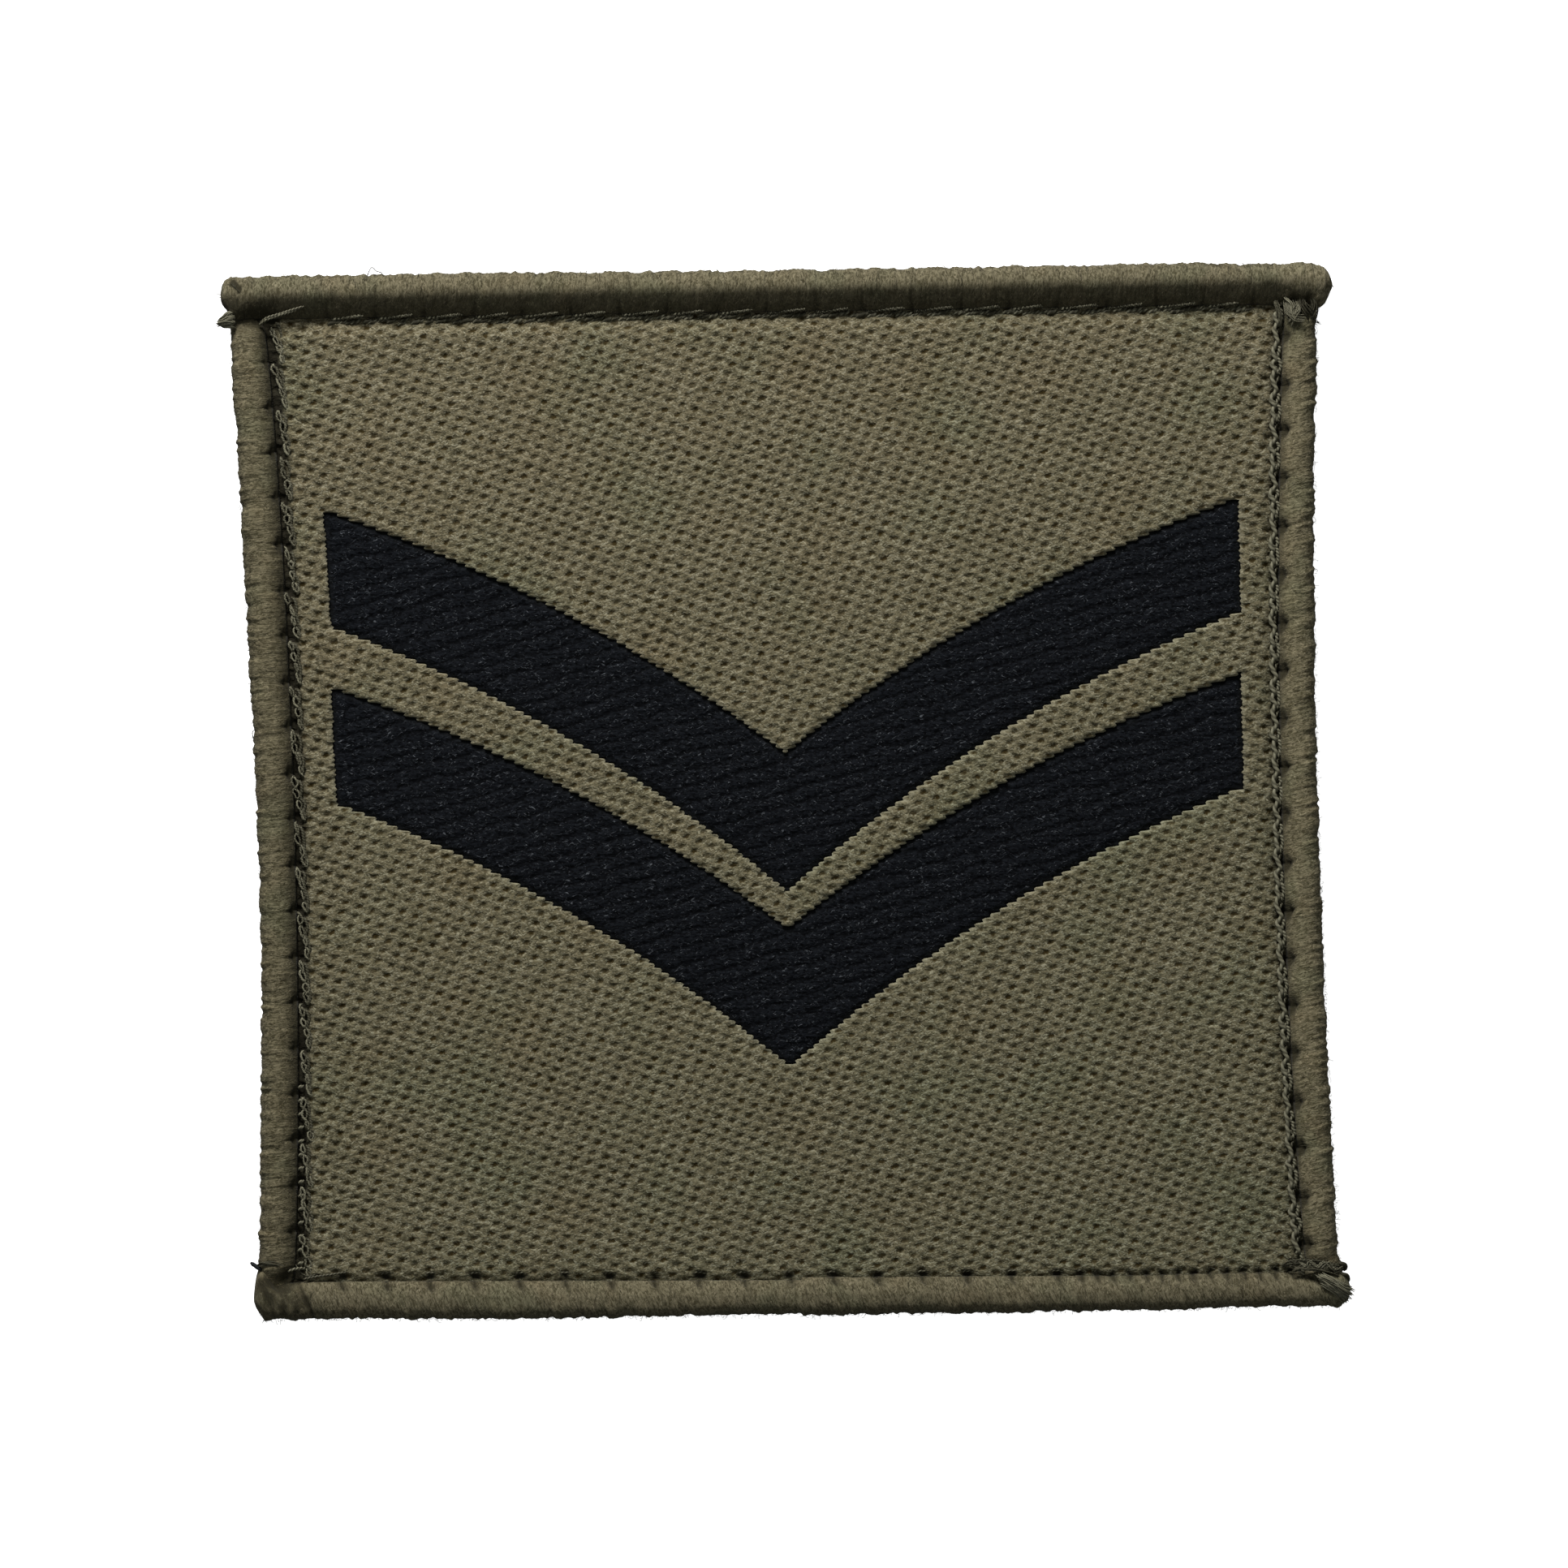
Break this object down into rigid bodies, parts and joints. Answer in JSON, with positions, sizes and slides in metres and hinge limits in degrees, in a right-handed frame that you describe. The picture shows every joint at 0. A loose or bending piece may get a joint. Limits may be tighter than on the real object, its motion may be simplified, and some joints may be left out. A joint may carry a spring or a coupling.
{
  "type": "rank chevron patch",
  "caption": "Square olive woven cloth patch with black V-shaped chevron bands inlaid in its face and wound thread rolls round its edges.",
  "frame": {"origin": "middle of the patch, on the surface that its back lies on", "axes": "+Z out of the face, +Y to the patch's top, the open side of the chevrons, +X to its right seen from the front"},
  "size_m": [0.0755, 0.0711, 0.0033],
  "materials": {
    "olive_cloth": "matt woven polyester with a satin binding pattern",
    "black_weft": "matt black woven weft with fine grey glints",
    "edge_thread": "soft olive overlock thread wound close together",
    "seam_thread": "grey olive sewing thread with a slight sheen"
  },
  "bodies": {
    "root": {"ground_cloth": "olive_cloth", "upper_chevron": "black_weft", "lower_chevron": "black_weft", "left_roll": "edge_thread", "right_roll": "edge_thread", "top_roll": "edge_thread", "bottom_roll": "edge_thread"}
  },
  "joints": []
}
